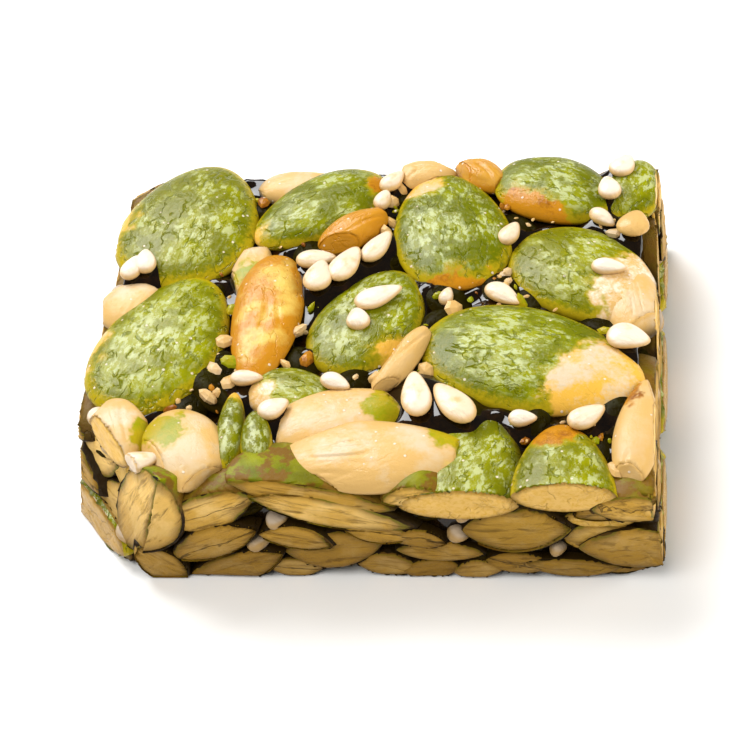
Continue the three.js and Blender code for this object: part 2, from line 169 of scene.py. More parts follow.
# The camera that the photograph was taken with, found from the piece's corners, with a longer lens.
CAMERA_PLACE = (22.6, -137.4, 128.7)
CAMERA_YAW, CAMERA_PITCH, CAMERA_ROLL = 9.5, 42.1, -6.7
FOCAL_PIXELS = 2560
FRAME_PIXELS = 750
SENSOR = 36.0

# Lights in metres: name, place, aim, size, power, colour, and whether the gloss mirrors it.
LIGHTS = (
    ("window", (-0.175, 0.23, 0.277), (0, 0, 0), (0.28, 0.23), 2.3, (0.98, 0.99, 1.0), True),
    ("front", (-0.16, -0.24, 0.44), (0, 0, 0), (0.42, 0.36), 2.4, (1.0, 0.99, 0.97), False),
    ("fill", (0.38, 0.0, 0.12), (0, 0, 0.005), (0.25, 0.25), 1.8, (1.0, 0.98, 0.95), False),
)
ROOM_COLOUR = (0.95, 0.97, 1.0, 1)
ROOM_STRENGTH = 0.12
FLOOR_REACH = 1.2


# ---- values for the user


def length_property(name, description, size):
    kept = dict(name=name, description=description, default=size * MM, min=0, unit="LENGTH")
    return FloatProperty(**kept)


class BrittleForm(bpy.types.PropertyGroup):
    """Sizes of the visible surfaces that the solid leaves plain."""

    syrup_rise: length_property("Syrup rise", "How high the syrup climbs at a kernel's side", 0.4)
    crease_depth: length_property("Crease depth", "Depth of the creases in the skins", 0.045)
    crumbs: IntProperty(name="Crumbs", description="Crumbs in the gaps", default=150, min=1)


class BrittleColours(bpy.types.PropertyGroup):
    """Colours of the piece's skins, flesh, seeds and syrup."""

    def colour(label, words, value):
        return FloatVectorProperty(
            name=label, description=words, subtype="COLOR", size=3, min=0, max=1, default=value
        )

    # Also painted shade towards the rim and in the cracks.
    green_dark: colour("Dark green", "Kernel skin in its deeper places", (0.105, 0.12, 0.0005))
    green_mid: colour("Green", "Kernel skin", (0.235, 0.25, 0.001))
    green_rim: colour("Yellow green", "Kernel skin at the rim", (0.38, 0.28, 0.006))
    # Pale flecks: partly the skin's own pale mottling, partly painted sheen.
    pale_bloom_and_sheen: colour("Pale green", "Bloom on the kernel skin", (0.47, 0.51, 0.26))
    tan: colour("Tan", "Toasted places on a skin", (0.57, 0.35, 0.115))
    brown: colour("Brown", "Scorched places on a skin", (0.20, 0.06, 0.004))
    golden: colour("Golden", "Toasted kernels", (0.66, 0.49, 0.11))
    toasted: colour("Orange brown", "Darkest toasted kernels", (0.46, 0.19, 0.008))
    cream: colour("Cream", "Peeled kernels", (0.57, 0.45, 0.295))
    flesh: colour("Flesh", "Cut faces", (0.64, 0.36, 0.05))
    flesh_light: colour("Light flesh", "Paler places in the cut faces", (0.80, 0.52, 0.16))
    # Also painted shade at the cut faces' borders, towards the bottom and on skins below the upper
    # face.
    flesh_dark: colour("Dark flesh", "Lines and dents in the cut faces", (0.16, 0.08, 0.008))
    sesame: colour("Sesame", "Sesame seeds", (0.74, 0.63, 0.50))
    # Also painted shade round the kernels' feet and on skins deep in the gaps.
    syrup: colour("Syrup", "Set syrup in the gaps", (0.008, 0.004, 0.001))
    floor: colour("Floor", "Ground that the piece stands on", (0.82, 0.81, 0.79))


# ---- shared maths


def seeded(seed):
    """Lehmer's generator, the same as the solid's: state = state * 16807 mod (2^31 - 1)."""
    state = [seed]

    def draw(low, high):
        state[0] = state[0] * 16807 % 2147483647
        return low + (high - low) * state[0] / 2147483647

    return draw


def drawer(seed):
    return np.random.default_rng(seed).uniform


def waves(points, wavelength, seed, count=14):
    """Smooth unevenness, mostly from -1 to 1: cosine waves in all directions, whose lengths spread
    round the given one, summed and divided by the root of their number."""
    random = np.random.default_rng(seed)
    ways = random.normal(size=(count, points.shape[1]))
    ways /= np.linalg.norm(ways, axis=1, keepdims=True)
    ways *= 2 * math.pi / (wavelength * random.uniform(0.7, 1.5, (count, 1)))
    phases = random.uniform(0, 2 * math.pi, count)
    return np.cos(points @ ways.T + phases).sum(axis=1) / math.sqrt(count)


def smooth(values, low, high):
    """0 below low, 1 above high, and 3t^2 - 2t^3 between them."""
    t = np.clip((values - low) / (high - low), 0, 1)
    return t * t * (3 - 2 * t)


def turned(points, turn, lean=0.0, towards=0.0):
    """Points turned about Z, then tipped so that their upper side faces the direction towards."""
    heading = math.radians(towards)
    axis = Vector((-math.sin(heading), math.cos(heading), 0))
    turning = Matrix.Rotation(math.radians(turn), 3, "Z")
    return points @ np.array(Matrix.Rotation(math.radians(lean), 3, axis) @ turning).T


# Each form is a table with one row for each vertex and these columns.
PLACE = slice(0, 3)  # in millimetres
GRAIN = slice(3, 6)  # the same place in the kernel's own frame, for patterns that follow it
TONE = slice(6, 9)
LIGHT, HUE, EDGE = 6, 7, 8  # how light, how far towards another colour, and how near the rim
PATCH = slice(9, 12)  # millimetres inside a tan, a brown and a cream or green place
PATCH_COLUMN = {"tan": 9, "brown": 10, "cream": 11, "skin": 11}
NO_PATCH = -3.0
LEVEL, SPLIT = 9, 10  # on cut kernels instead: height over the middle, and how far it is split
FLESH = 12  # 1 on a cut face
COLUMNS = 13


def closed_grid(rows, sides):
    """Triangles over rows of points between two poles, from the lower pole up, facing out."""
    ring = 1 + np.arange(rows * sides).reshape(rows, sides)
    after = np.roll(ring, -1, 1)
    walls = [ring[:-1], after[:-1], after[1:], ring[:-1], after[1:], ring[1:]]
    under = np.stack([np.zeros(sides, int), after[0], ring[0]], -1)
    over = np.stack([ring[-1], after[-1], np.full(sides, rows * sides + 1)], -1)
    return np.concatenate([under, np.stack(walls, -1).reshape(-1, 3), over])


def set_tone(table, light, hue, edge=0.0):
    table[:, LIGHT], table[:, HUE], table[:, EDGE] = light, hue, edge


def kernel_form(length, width, thick, seed, sides, upper, lower, profile=PLUMP):
    """A flat kernel in its own frame. With r from 0 in the middle to 1 at the rim and s the
    direction, x = half length * r cos s, y = half width * r sin s * (1 - taper * r cos s), and
    z = half thickness * (1 - r^flatness)^roundness, up on one side and down on the other.
    The outline swings in and out by the share uneven. Returns the table, its faces and r."""
    flatness, roundness, uneven = profile
    rise = np.concatenate([np.linspace(-1, 0, lower + 1)[1:-1], np.linspace(0, 1, upper + 1)[:-1]])
    tau = rise * math.pi / 2
    s = np.arange(sides) * 2 * math.pi / sides
    r = np.concatenate([[0], np.repeat(np.cos(tau), sides), [0]])
    s = np.concatenate([[0], np.tile(s, len(tau)), [0]])
    side = np.concatenate([[-1], np.repeat(np.sign(tau), sides), [1]])
    round_way = np.stack([np.cos(s), np.sin(s)], -1)
    swing = 1 + uneven * waves(round_way, 1.9, seed)
    along = r * np.cos(s)
    table = np.zeros((len(r), COLUMNS))
    table[:, 0] = along * length / 2 * swing
    table[:, 1] = r * np.sin(s) * (1 - KERNEL_TAPER * along) * width / 2 * swing
    table[:, 2] = side * thick / 2 * (1 - r**flatness) ** roundness
    table[:, PATCH] = NO_PATCH
    return table, closed_grid(len(tau), sides), r


def crease(table, r, seed, depth, draw_out=0.6):
    """Presses soft dents and short creases into a kernel's faces: ridged waves, longer along the
    kernel than across it, only in some places, fading out at the rim."""
    place = table[:, :2].copy()
    flat = place * (draw_out, 1.0)
    bend = 0.5 * np.stack([waves(flat, 3.0, seed + 1), waves(flat, 3.0, seed + 2)], -1)
    folds = smooth(1 - np.abs(waves(flat + bend, 2.6, seed + 3, 9)), 0.7, 1.0)
    fine = smooth(1 - np.abs(waves(flat + bend, 1.3, seed + 4, 9)), 0.7, 1.0)
    where = smooth(waves(place, 6.0, seed + 6), -0.5, 0.6)
    dents = 0.028 * waves(place, 5.0, seed + 5) + 0.004 * waves(flat + bend, 1.5, seed + 7, 24)
    cut = where * (folds + 0.3 * fine)
    table[:, 2] += (1 - r**6) * (dents - depth * cut) * np.sign(table[:, 2] + 1e-9)


def set_down(table, x, y, z, turn, seed, lean=0.0, towards=0.0):
    """Keeps the kernel's own frame for its patterns, then puts it in its place, flat where it
    reaches the board. No two that touch there are equally low."""
    table[:, GRAIN] = table[:, PLACE] + (0, 0, 9.0 * (seed % 97))
    table[:, PLACE] = turned(table[:, PLACE], turn, lean, towards) + (x, y, z)
    board = 2.5 * LOWEST + 0.012 * (seed % 7) + 0.006 * waves(table[:, :2], 1.8, seed)
    table[:, 2] = np.maximum(table[:, 2], board)


def clip(table, faces, point, normal, seed=0, worn=0.2):
    """What is left of a closed form behind a plane. Triangles across the plane are cut where it
    meets their edges, and those points, in order round their middle, are joined to it by rings
    that make the cut face. Its border is worn round."""
    height = (table[:, PLACE] - point) @ normal
    if not len(table) or height.max() <= 0:
        return table, faces
    if height.min() >= 0:
        return table[:0], faces[:0]
    out = height[faces] > 0
    total = out.sum(axis=1)
    one, two = faces[total == 1], faces[total == 2]
    turn = np.arange(3)
    one = np.take_along_axis(one, (out[total == 1].argmax(1)[:, None] + turn) % 3, 1)
    two = np.take_along_axis(two, ((~out[total == 2]).argmax(1)[:, None] + turn) % 3, 1)
    edges = [rows[:, [0, corner]] for rows in (one, two) for corner in (1, 2)]
    edges = np.sort(np.concatenate(edges))
    pairs, place = np.unique(edges, axis=0, return_inverse=True)
    place = place.reshape(-1) + len(table)
    share = height[pairs[:, 0]] / (height[pairs[:, 0]] - height[pairs[:, 1]])
    met = table[pairs[:, 0]] + share[:, None] * (table[pairs[:, 1]] - table[pairs[:, 0]])
    border = met.copy()
    met[:, PLACE] -= worn * normal
    a, b, c, d = np.split(place, np.cumsum([len(one), len(one), len(two)]))
    kept = [
        faces[total == 0],
        np.stack([a, one[:, 1], one[:, 2]], -1),
        np.stack([a, one[:, 2], b], -1),
        np.stack([two[:, 0], c, d], -1),
    ]
    across = np.cross(normal, (0.31, 0.17, 0.93))
    across /= np.linalg.norm(across)
    upward = np.cross(normal, across)
    spread = border[:, PLACE] - border[:, PLACE].mean(axis=0)
    border = border[np.argsort(np.arctan2(spread @ upward, spread @ across))]
    border[:, FLESH] = 1
    middle = border.mean(axis=0)
    count = len(border)
    inward = [middle + ring * (border - middle) for ring in FACE_RINGS]
    face = np.concatenate([border, *inward, middle[None]])
    edge = np.append(np.repeat((1.0, *FACE_RINGS), count), 0.0)
    face[:, EDGE] = edge
    dent = FACE_RELIEF * np.minimum(waves(face[:, GRAIN] * (0.45, 1, 1.6), 1.6, seed + 11) - 0.6, 0)
    face[:, PLACE] += np.outer(dent * (1 - edge**8) - worn * edge**16, normal)
    grid = closed_grid(len(FACE_RINGS) + 1, count)[count:]
    kept.append(grid + len(table) + len(met) - 1)
    rows = np.concatenate([table, met, face])
    faces = np.concatenate(kept)
    used, fresh = np.unique(faces, return_inverse=True)
    return rows[used], fresh.reshape(-1, 3)


# ---- the knife's cuts


def outline(z, inset, chip):
    """The block's corners at a height, from the back on the left round to the broken corner."""
    left, right = -HALF_WIDTH + inset[0], HALF_WIDTH - inset[1]
    back, front = HALF_DEPTH, -HALF_DEPTH
    flat = [(left, back), (right, back), (right, front)]
    flat += [(left + chip[1], front), (left, front + chip[0])]
    return np.column_stack([flat, np.full(5, z)])


FOOT = outline(0.0, (0.0, 0.0), CHIP_FOOT)
TOP = outline(HEIGHT, TOP_INSET, CHIP_TOP)


class Side:
    """A side face as the knife left it: where it starts at mid height, the way along it, the way
    in, and how far it leans in over the height."""

    def __init__(self, start, end):
        self.start = (FOOT[start] + TOP[start]) / 2 * (1, 1, 0)
        along = (FOOT[end] + TOP[end]) / 2 * (1, 1, 0) - self.start
        self.length = np.linalg.norm(along)
        self.along = along / self.length
        self.inward = np.array((-self.along[1], self.along[0], 0.0))
        self.lean = float(self.inward @ (TOP[start] - FOOT[start]))
        self.heading = math.degrees(math.atan2(self.along[1], self.along[0]))

    def at(self, along, z, depth=0.0):
        """The point that far along the cut, that high and that deep behind it."""
        drift = self.lean * (z / HEIGHT - 0.5)
        return self.start + self.along * along + self.inward * (depth + drift) + (0, 0, z)

    def plane(self, depth=0.0, along=0.0, z=0.0, tilt=(0.0, 0.0)):
        """A point of the cut, that deep, and its outward normal, turned and leant by tilt there."""
        up = np.array((0, 0, 1.0)) + self.inward * (self.lean / HEIGHT + tilt[1])
        out = np.cross(self.along + self.inward * tilt[0], up)
        return self.at(along, z, depth), out / np.linalg.norm(out)


BACK, RIGHT, FRONT, CHIP, LEFT = Side(1, 0), Side(2, 1), Side(3, 2), Side(4, 3), Side(0, 4)
SIDES = (BACK, RIGHT, FRONT, CHIP, LEFT)


def trimmed(table, faces, seed, depth=0.0):
    """Cuts a form to the block's five sides."""
    for number, side in enumerate(SIDES):
        table, faces = clip(table, faces, *side.plane(depth), seed + number)
    return table, faces


def cut_layout():
    """Every kernel that the knife went through, in the solid's order, as (side, place along,
    height, half length, half height, slope, breadth, twist, depth of its cut)."""
    depth = seeded(71)
    random = seeded(29)
    pitch = 7.2
    found = []
    for side in (RIGHT, BACK, LEFT):
        for course in (0, 1):
            along = course * 0.5 * pitch
            while along < side.length + 2:
                z = 1.5 * LAYER + course * 0.92 * LAYER + random(-0.35, 0.35)
                section = (random(3.6, 5.2), random(1.2, 1.6), random(-15, 15))
                breadth, twist = random(7.6, 9), random(-14, 14)
                found.append((side, along, z, *section, breadth, twist, depth(0, CUT_UNEVEN)))
                along += pitch * random(0.86, 1.14)
    for place, *rest in FRONT_KERNELS:
        found.append((FRONT, place - FRONT.start[0], *rest, 8, 0, depth(0, CUT_UNEVEN)))
    for number, section in enumerate(CHIP_KERNELS):
        behind = 0.3 if number else -0.1
        found.append((CHIP, *section, 7, 0, depth(0, CUT_UNEVEN) + behind))
    return found


# ---- mesh making


def add_object(name, data):
    item = bpy.data.objects.new(name, data)
    bpy.context.scene.collection.objects.link(item)
    return item


def add_piece(name, forms, material, rounded=True):
    """Joins forms into one mesh object at the origin, in metres, parents it to the root body and
    hides the imported solid.
    """
    tables, parts = zip(*forms)
    starts = np.cumsum([0, *map(len, tables)])
    rows = np.concatenate(tables)
    faces = np.concatenate([part + start for part, start in zip(parts, starts)]).astype(np.int32)
    rows[:, 2] = rows[:, 2].clip(0.01)
    mesh = bpy.data.meshes.new(name)
    mesh.vertices.add(len(rows))
    mesh.vertices.foreach_set("co", (rows[:, PLACE] * MM).ravel())
    mesh.loops.add(faces.size)
    mesh.loops.foreach_set("vertex_index", faces.ravel())
    mesh.polygons.add(len(faces))
    mesh.polygons.foreach_set("loop_start", np.arange(0, faces.size, 3, dtype=np.int32))
    mesh.polygons.foreach_set("use_smooth", np.full(len(faces), rounded))
    for label, columns in (("grain", GRAIN), ("tone", TONE), ("patch", PATCH)):
        data = mesh.attributes.new(label, "FLOAT_VECTOR", "POINT").data
        data.foreach_set("vector", rows[:, columns].ravel())
    mesh.attributes.new("flesh", "FLOAT", "POINT").data.foreach_set("value", rows[:, FLESH].copy())
    mesh.update()
    if mesh.validate():
        raise RuntimeError(f"{name} has broken faces")
    mesh.materials.append(material)
    piece = add_object(name, mesh)
    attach(piece, "root")
    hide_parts("brittle")


# ---- materials


SYRUP_IOR = 1.48
SYRUP_THIN = (0.035, 0.012, 0.002, 1)

# Painted shade in syrup's colour round a skin's foot: dark below a height, none above another, and
# how dark.
FOOT_SHADE = (HEIGHT - 2.3, HEIGHT - 1.2, 0.92)
BURIED_SHADE = (HEIGHT - 1.2, HEIGHT + 0.2, 0.96)
NO_FOOT_SHADE = (0.0, 0.1, 0.0)

# Kernel skins: the deeper colour, the lighter one and the rim's; the colours of toasted, scorched
# and bare places, and the same where deeper; how far pale flecks cover it (partly the skin's own
# mottling, partly painted sheen), crackle, coat, coat roughness and specular.
SKINS = {
    "green": (
        ("green_dark", "green_mid", "green_rim"),
        ("cream", "brown", "sesame"),
        ("flesh", "toasted", "tan"),
        *(0.65, 1.0, 0.5, 0.09, 0.0),
    ),
    "golden": (
        ("toasted", "golden", "toasted"),
        ("tan", "toasted", "green_mid"),
        ("golden", "brown", "green_rim"),
        *(0.0, 0.5, 0.6, 0.2, 0.03),
    ),
    "cream": (
        ("tan", "cream", "tan"),
        ("tan", "brown", "green_mid"),
        ("golden", "toasted", "green_rim"),
        *(0.0, 0.15, 0.5, 0.25, 0.03),
    ),
}

# Wide cracks and fine ones: scale and reach of their warp, stretch, cells in a millimetre, width,
# and the scale, detail and limits of the noise that says where they are.
CRACKS = (
    (0.7, 2.2, 0.5, 0.5, 0.06, 0.5, 2.0, 0.52, 0.64),
    (1.2, 1.0, 0.3, 1.1, 0.07, 0.9, 3.0, 0.5, 0.58),
)


class Value:
    """What a node gives. Its sums, products and steps are given by further nodes."""

    def __init__(self, finish, socket):
        self.finish, self.socket = finish, socket

    def __add__(self, other):
        return self.finish.math("ADD", self, other)

    def __mul__(self, other):
        return self.finish.math("MULTIPLY", self, other)

    def step(self, low, high, to_low=0.0, to_high=1.0):
        values = {"Value": self, "From Min": low, "From Max": high}
        values |= {"To Min": to_low, "To Max": to_high}
        return self.finish.add("MapRange", values, interpolation_type="SMOOTHSTEP")[0]


class Finish:
    """A material whose nodes are wired as they are made. Colours can be given by their names."""

    def __init__(self, context, name):
        self.colours = context.scene.brittle_colours
        self.material = bpy.data.materials.new(name)
        self.material.use_nodes = True
        self.tree = self.material.node_tree
        self.shader = self.tree.nodes["Principled BSDF"]

    def add(self, kind, inputs, **settings):
        """Adds a node, and returns all that it gives."""
        node = self.tree.nodes.new("ShaderNode" + kind)
        for name, value in settings.items():
            setattr(node, name, value)
        self.wire(node, inputs)
        return [Value(self, socket) for socket in node.outputs]

    def wire(self, node, inputs):
        for name, value in inputs.items():
            if isinstance(value, Value):
                self.tree.links.new(value.socket, node.inputs[name])
                continue
            if isinstance(value, str):
                value = (*getattr(self.colours, value), 1.0)
            node.inputs[name].default_value = value

    def attribute(self, name):
        """The flesh's number, the grain's vector, or the three parts of another vector."""
        _, vector, number, _ = self.add("Attribute", {}, attribute_name=name)
        return {"flesh": number, "grain": vector}.get(name) or self.parts(vector)

    def place(self):
        return self.add("TexCoord", {})[3]

    def parts(self, vector):
        return self.add("SeparateXYZ", {"Vector": vector})

    def scaled(self, vector, *scale):
        return self.add("Mapping", {"Vector": vector, "Scale": scale})[0]

    def warped(self, vector, scale, amount):
        """The vector pushed about by coloured noise."""
        push = self.add("TexNoise", {"Vector": vector, "Scale": scale, "Detail": 3.0})[1]
        values = {0: push, 1: (amount, amount, amount), 2: vector}
        return self.add("VectorMath", values, operation="MULTIPLY_ADD")[0]

    def noise(self, vector, scale, detail=3.0, roughness=0.5, distortion=0.0):
        values = {"Vector": vector, "Scale": scale, "Detail": detail, "Roughness": roughness}
        return self.add("TexNoise", {**values, "Distortion": distortion})[0]

    def cells(self, vector, scale, feature="F1"):
        """How far the nearest cell's middle or border is."""
        return self.add("TexVoronoi", {"Vector": vector, "Scale": scale}, feature=feature)[0]

    def foot(self, low, high, most):
        """That much below the height low, nothing above high, both in millimetres."""
        return self.parts(self.place())[2].step(low * MM, high * MM, most, 0.0)

    def math(self, operation, *values):
        return self.add("Math", dict(enumerate(values)), operation=operation)[0]

    def paint(self, colour, *coats):
        """Lays coats over a colour, each given as the share that it covers and its own colour."""
        for share, coat in coats:
            colour = self.add("Mix", {0: share, 6: colour, 7: coat}, data_type="RGBA")[2]
        return colour

    def bump(self, height, depth):
        return self.add("Bump", {"Height": height, "Distance": depth * MM})[0]

    def glazed(self, colour, roughness, height, depth, coat, coat_roughness, specular, **values):
        """Sets the shader, with set syrup as its coat. Uniform values go straight on it."""
        values |= {
            "Base Color": colour,
            "Roughness": roughness,
            "Normal": self.bump(height, depth),
            "Coat Weight": coat,
            "Coat Roughness": coat_roughness,
            "Coat IOR": SYRUP_IOR,
            "Specular IOR Level": specular,
        }
        self.wire(self.shader, values)
        return self.material


def skin_finish(context, name, kind, foot_shade=FOOT_SHADE, coat=None):
    """Glazed kernel skin: blotches of a deeper and a lighter colour, painted shade towards a
    coloured rim, pale flecks that are partly the skin's own pale mottling and partly painted sheen,
    wide and fine cracks painted darker as shade, pale dots that are partly dust and partly painted
    glints, toasted, scorched or bare places with ragged borders and a halo, painted shade in
    syrup's colour round the foot, and dull flesh on its cut faces, darker at their borders, partly
    toasted and partly painted shade, and painted shade towards the bottom."""
    (deep, main, rim), tints, deep_tints, bloom_and_sheen, crackle, own_coat, *shine = SKINS[kind]
    finish = Finish(context, name)
    grain = finish.attribute("grain")
    light, hue, edge = finish.attribute("tone")
    blotch = finish.noise(grain, 0.4, 4.0, 0.6)
    fine = finish.noise(grain, 3.4, 5.0, 0.65)
    pores = finish.noise(finish.scaled(grain, 0.6, 1, 1), 6.5, 3.0, 0.6)
    crack = 0.0
    for warp, reach, stretch, scale, wide, spots, detail, low, high in CRACKS:
        along = finish.scaled(finish.warped(grain, warp, reach), stretch, 1, 1)
        lines = finish.cells(along, scale, "DISTANCE_TO_EDGE").step(0.0, wide, 1.0, 0.0)
        lines *= finish.noise(grain, spots, detail).step(low, high)
        crack = finish.math("MAXIMUM", lines, crack)
    crack *= crackle
    # Painted shade: the skin darkens towards the rim.
    share = blotch.step(0.36, 0.66) + light + edge.step(0.55, 0.95, 0.0, -0.5)
    # Pale flecks, partly the skin's own pale mottling and partly painted sheen, fading out at the
    # rim.
    flecks = finish.noise(finish.scaled(grain, 0.55, 1, 1), 2.2, 6.0, 0.72).step(0.49, 0.55)
    flecks *= blotch.step(0.42, 0.55)
    uneven_edge = edge + fine.step(0.2, 0.8, -0.05, 0.05)
    colour = finish.paint(
        deep,
        (share, main),
        (fine.step(0.5, 0.8, 0.0, 0.35), rim),
        (flecks * edge.step(0.6, 0.95, bloom_and_sheen, 0.0), "pale_bloom_and_sheen"),
        (uneven_edge.step(0.84, 0.99, 0.0, 0.9) + hue, rim),
    )
    ragged = finish.noise(grain, 0.6, 3.0, 0.6).step(0.25, 0.75, -0.8, 0.8)
    mottle = share + fine.step(0.3, 0.7, -0.3, 0.3)
    for distance, tint, deep_tint in zip(finish.attribute("patch"), tints, deep_tints):
        distance += ragged
        colour = finish.paint(
            colour,
            (distance.step(-0.9, 0.0, 0.0, 0.7), rim),
            (distance.step(-0.3, 0.3), finish.paint(deep_tint, (mottle, tint))),
        )
        crack *= distance.step(-0.5, 0.2, 1.0, 0.15)
    # Pale dots: partly sesame and sugar dust, partly painted glints.
    specks_and_glints = finish.cells(grain, 0.9).step(0.07, 0.11, 1.0, 0.0)
    # Painted shade: the cracks are darker.
    colour = finish.paint(
        # Painted shade in syrup's colour round the foot.
        colour, (crack * 0.75, deep), (specks_and_glints * 0.8, "sesame"), (finish.foot(*foot_shade), "syrup")
    )
    fibres = finish.noise(finish.scaled(grain, 0.3, 1.0, 1.5), 2.5, 5.0, 0.65, 0.5)
    # The cut face: darker at its border, partly toasted and partly painted shade, and painted shade
    # towards the bottom.
    dull = finish.paint(
        "flesh",
        (fibres.step(0.3, 0.6, 0.0, 0.6), "flesh_light"),
        (uneven_edge.step(0.75, 1.0, 0.0, 0.7), "flesh_dark"),
        (finish.foot(1.5, 7.0, 0.5), "flesh_dark"),
    )
    colour = finish.paint(colour, (finish.attribute("flesh"), dull))
    height = crack * -0.06 + fine * 0.034 + pores * 0.016 + specks_and_glints * 0.03
    coat_normal = {"Coat Normal": finish.bump(height, 1.4)}
    return finish.glazed(colour, 0.5, height, 1.0, coat or own_coat, *shine, **coat_normal)


def cut_finish(context):
    """Cut kernels: dull flesh, with painted shade towards the foot, fibres along the kernel, dark
    splits between its leaves and a dark border with an olive line in it; the flesh darkens towards
    the border, partly toasted and partly painted shade. The skin beside it is green where it isn't
    torn, and below the upper face painted dark as shade, brown and then in syrup's colour."""
    finish = Finish(context, "cut_flesh")
    grain = finish.attribute("grain")
    light, hue, edge = finish.attribute("tone")
    level, split, _ = finish.attribute("patch")
    fibres = finish.noise(finish.scaled(grain, 0.22, 0.5, 1.6), 1.5, 5.0, 0.65, 0.6)
    blotch = finish.noise(grain, 0.5, 3.0)
    wave = finish.noise(finish.scaled(grain, 0.3, 1, 1), 0.5, 4.0, 0.6).step(0.2, 0.8, -0.6, 0.6)
    seam = finish.math("ABSOLUTE", level + wave).step(0.01, 0.07, 1.0, 0.0) * split
    pale = blotch.step(0.4, 0.68, -0.1, 0.9) + light
    rough_edge = edge + blotch.step(0.3, 0.7, -0.12, 0.08)
    face = finish.paint(
        "flesh_dark",
        (fibres.step(0.32, 0.52, 0.05, 1.0), "flesh"),
        (pale * fibres.step(0.3, 0.55, 0.3, 1.0), "flesh_light"),
        (hue, "green_rim"),
        # Darker towards the border: partly toasted, partly painted shade.
        (rough_edge.step(0.6, 0.98, 0.0, 0.75), "flesh_dark"),
        (rough_edge.step(0.88, 0.97, 0.0, 0.7), "green_dark"),
        (rough_edge.step(0.98, 1.02), "syrup"),
        (light.step(-0.4, 0.3, 0.5, 0.0), "flesh_dark"),
        # Painted shade towards the bottom.
        (finish.foot(1.5, 7.5, 0.6), "flesh_dark"),
        (seam * 0.6, "syrup"),
    )
    skin = finish.paint(
        "green_dark",
        (blotch.step(0.3, 0.7), "green_mid"),
        (finish.noise(grain, 0.8, 4.0, 0.6).step(0.46, 0.56), "flesh_dark"),
        # Painted shade below the upper face, where this skin lies back in the gaps: brown, then
        # syrup-coloured lower down.
        (finish.foot(7.4, 9.7, 0.9), "flesh_dark"),
        (finish.foot(5.8, 7.8, 0.93), "syrup"),
    )
    colour = finish.paint(skin, (finish.attribute("flesh"), face))
    height = fibres * 0.14 + finish.noise(grain, 3.0, 4.0, 0.6) * 0.09 + seam * -0.1
    return finish.glazed(colour, 0.55, height, 1.0, 0.12, 0.3, 0.1)


def sesame_finish(context):
    """Pale seeds, uneven all over, tan in blotches and at the rim, with painted shade down in the
    gaps.
    """
    finish = Finish(context, "sesame_skin")
    grain = finish.attribute("grain")
    _, hue, edge = finish.attribute("tone")
    colour = finish.paint(
        "sesame",
        (finish.noise(grain, 0.9, 3.0).step(0.5, 0.75, 0.0, 0.5) + hue, "tan"),
        (edge.step(0.8, 1.0, 0.0, 0.85), "tan"),
        # Painted shade down in the gaps.
        (finish.foot(HEIGHT - 2.0, HEIGHT - 0.8, 0.5), "flesh_dark"),
    )
    height = finish.noise(finish.scaled(grain, 0.5, 1, 1), 3.0, 3.0)
    return finish.glazed(colour, 0.45, height, 0.12, 0.4, 0.2, 0.1)


def syrup_finish(context):
    """Dark set syrup, glossy and rippled, browner in blotches."""
    finish = Finish(context, "set_syrup")
    place = finish.place()
    colour = finish.paint("syrup", (finish.noise(place, 420, 4.0).step(0.5, 0.8), SYRUP_THIN))
    height = finish.noise(place, 900, 4.0) + finish.noise(place, 2200, 2.0)
    return finish.glazed(colour, 0.7, height, 0.9, 0.9, 0.03, 0.0)


# ---- the pieces


def broken(table, faces, draw, middle, turn, length, width):
    """Breaks three faces off a kernel's border, steep ones and one that slopes. Each takes away a
    small share of the way from the middle to the border in its direction, and keeps the
    kernel's own skin."""
    first = draw(0, 2 * math.pi)
    for number, rise in enumerate((0.1, 0.7, 0.3)):
        heading = first + number * 2.1 + draw(-0.3, 0.3)
        own = heading - math.radians(turn)
        reach = math.hypot(length / 2 * math.cos(own), width / 2 * math.sin(own))
        flat = np.array((math.cos(heading), math.sin(heading), 0))
        normal = (flat + (0, 0, rise)) / math.hypot(1, rise)
        point = middle + flat * reach * draw(0.8, 0.92)
        table, faces = clip(table, faces, point, normal, number, 0.12)
    table[:, FLESH] = 0
    return table, faces


def upper_forms(context, kinds):
    """The whole kernels of the upper face whose skin is of one of the kinds. Green ones are plump,
    and the others flatter, more creased and uneven, most of them with small broken faces."""
    depth = context.scene.brittle_form.crease_depth / MM
    forms = []
    for number, (kind, x, y, turn, length, width, sunk, patches) in enumerate(UPPER_KERNELS):
        if kind not in kinds:
            continue
        thick = 1.4 + 0.18 * width
        middle = (x, y, HEIGHT - sunk - thick / 2)
        seed = 400 + 17 * number
        grid = (104, 30, 9) if width > 6.5 else (73, 21, 9)
        whole = kind == "green"
        profile = PLUMP if whole else PEELED
        table, faces, r = kernel_form(length, width, thick, seed, *grid, profile)
        crease(table, r, seed, depth * (1 if whole else 2.2), 0.6 if whole else 0.22)
        draw = drawer(seed)
        # Narrow kernels, low between the wider ones, are painted darker as shade.
        light = draw(-0.18, 0.25) - (0.5 if width < 2.5 else 0)
        set_tone(table, light, draw(0.0, 0.16) + OWN_HUE.get(kind, 0), r)
        set_down(table, *middle, turn, seed)
        for colour, (px, py, radius) in patches.items():
            distance = np.hypot(table[:, 0] - px, table[:, 1] - py)
            table[:, PATCH_COLUMN[colour]] = radius - distance
        if kind in ("cream", "tan", "toasted"):
            table, faces = broken(table, faces, draw, middle, turn, length, width)
        forms.append(trimmed(table, faces, seed, 0.02 + 0.02 * (number % 5)))
    return forms


class BRITTLE_OT_upper_kernels(bpy.types.Operator):
    """Whole kernels pressed flat into the upper face: green, toasted and peeled ones"""

    bl_idname = "brittle.upper_kernels"
    bl_label = "Upper Kernels"

    def execute(self, context):
        for name, kinds in UPPER_PIECES.items():
            skin = skin_finish(context, f"{kinds[0]}_skin", kinds[0])
            add_piece(name, upper_forms(context, kinds), skin)
        return {"FINISHED"}


